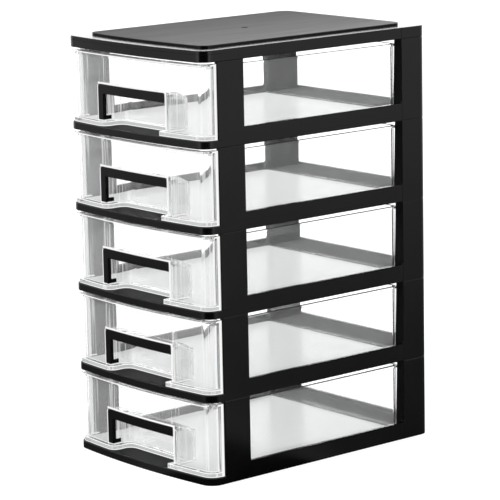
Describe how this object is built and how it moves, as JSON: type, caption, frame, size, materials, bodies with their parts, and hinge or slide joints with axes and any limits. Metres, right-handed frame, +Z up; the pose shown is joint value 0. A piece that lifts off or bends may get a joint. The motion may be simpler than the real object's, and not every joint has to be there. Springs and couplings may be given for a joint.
{
  "type": "compartment storage box",
  "caption": "Desk-top drawer organizer: stacked black plastic tier frames under a cover, each with a clear pull-out drawer and a black handle trim.",
  "frame": {"origin": "middle of the box's outline at the level it stands on", "axes": "+X to the right seen from the front, -Y the front with the drawer handles, +Z up"},
  "size_m": [0.1554, 0.2176, 0.3101],
  "materials": {
    "frame_plastic": "black moulded polystyrene, glossy with a faint mould texture",
    "drawer_plastic": "clear moulded polystyrene, glossy",
    "handle_plastic": "black moulded plastic, satin"
  },
  "bodies": {
    "cabinet": {"tier_frame_1": "frame_plastic", "tier_frame_2": "frame_plastic", "tier_frame_3": "frame_plastic", "tier_frame_4": "frame_plastic", "tier_frame_5": "frame_plastic", "top_cover": "frame_plastic"},
    "drawer_1": {"drawer_1": "drawer_plastic", "drawer_handle_1": "handle_plastic"},
    "drawer_2": {"drawer_2": "drawer_plastic", "drawer_handle_2": "handle_plastic"},
    "drawer_3": {"drawer_3": "drawer_plastic", "drawer_handle_3": "handle_plastic"},
    "drawer_4": {"drawer_4": "drawer_plastic", "drawer_handle_4": "handle_plastic"},
    "drawer_5": {"drawer_5": "drawer_plastic", "drawer_handle_5": "handle_plastic"}
  },
  "joints": [
    {"name": "drawer_1_slide", "type": "slide", "parent": "cabinet", "child": "drawer_1", "axis": [0, -1, 0], "range_m": [0, 0.15]},
    {"name": "drawer_2_slide", "type": "slide", "parent": "cabinet", "child": "drawer_2", "axis": [0, -1, 0], "range_m": [0, 0.15]},
    {"name": "drawer_3_slide", "type": "slide", "parent": "cabinet", "child": "drawer_3", "axis": [0, -1, 0], "range_m": [0, 0.15]},
    {"name": "drawer_4_slide", "type": "slide", "parent": "cabinet", "child": "drawer_4", "axis": [0, -1, 0], "range_m": [0, 0.15]},
    {"name": "drawer_5_slide", "type": "slide", "parent": "cabinet", "child": "drawer_5", "axis": [0, -1, 0], "range_m": [0, 0.15]}
  ]
}
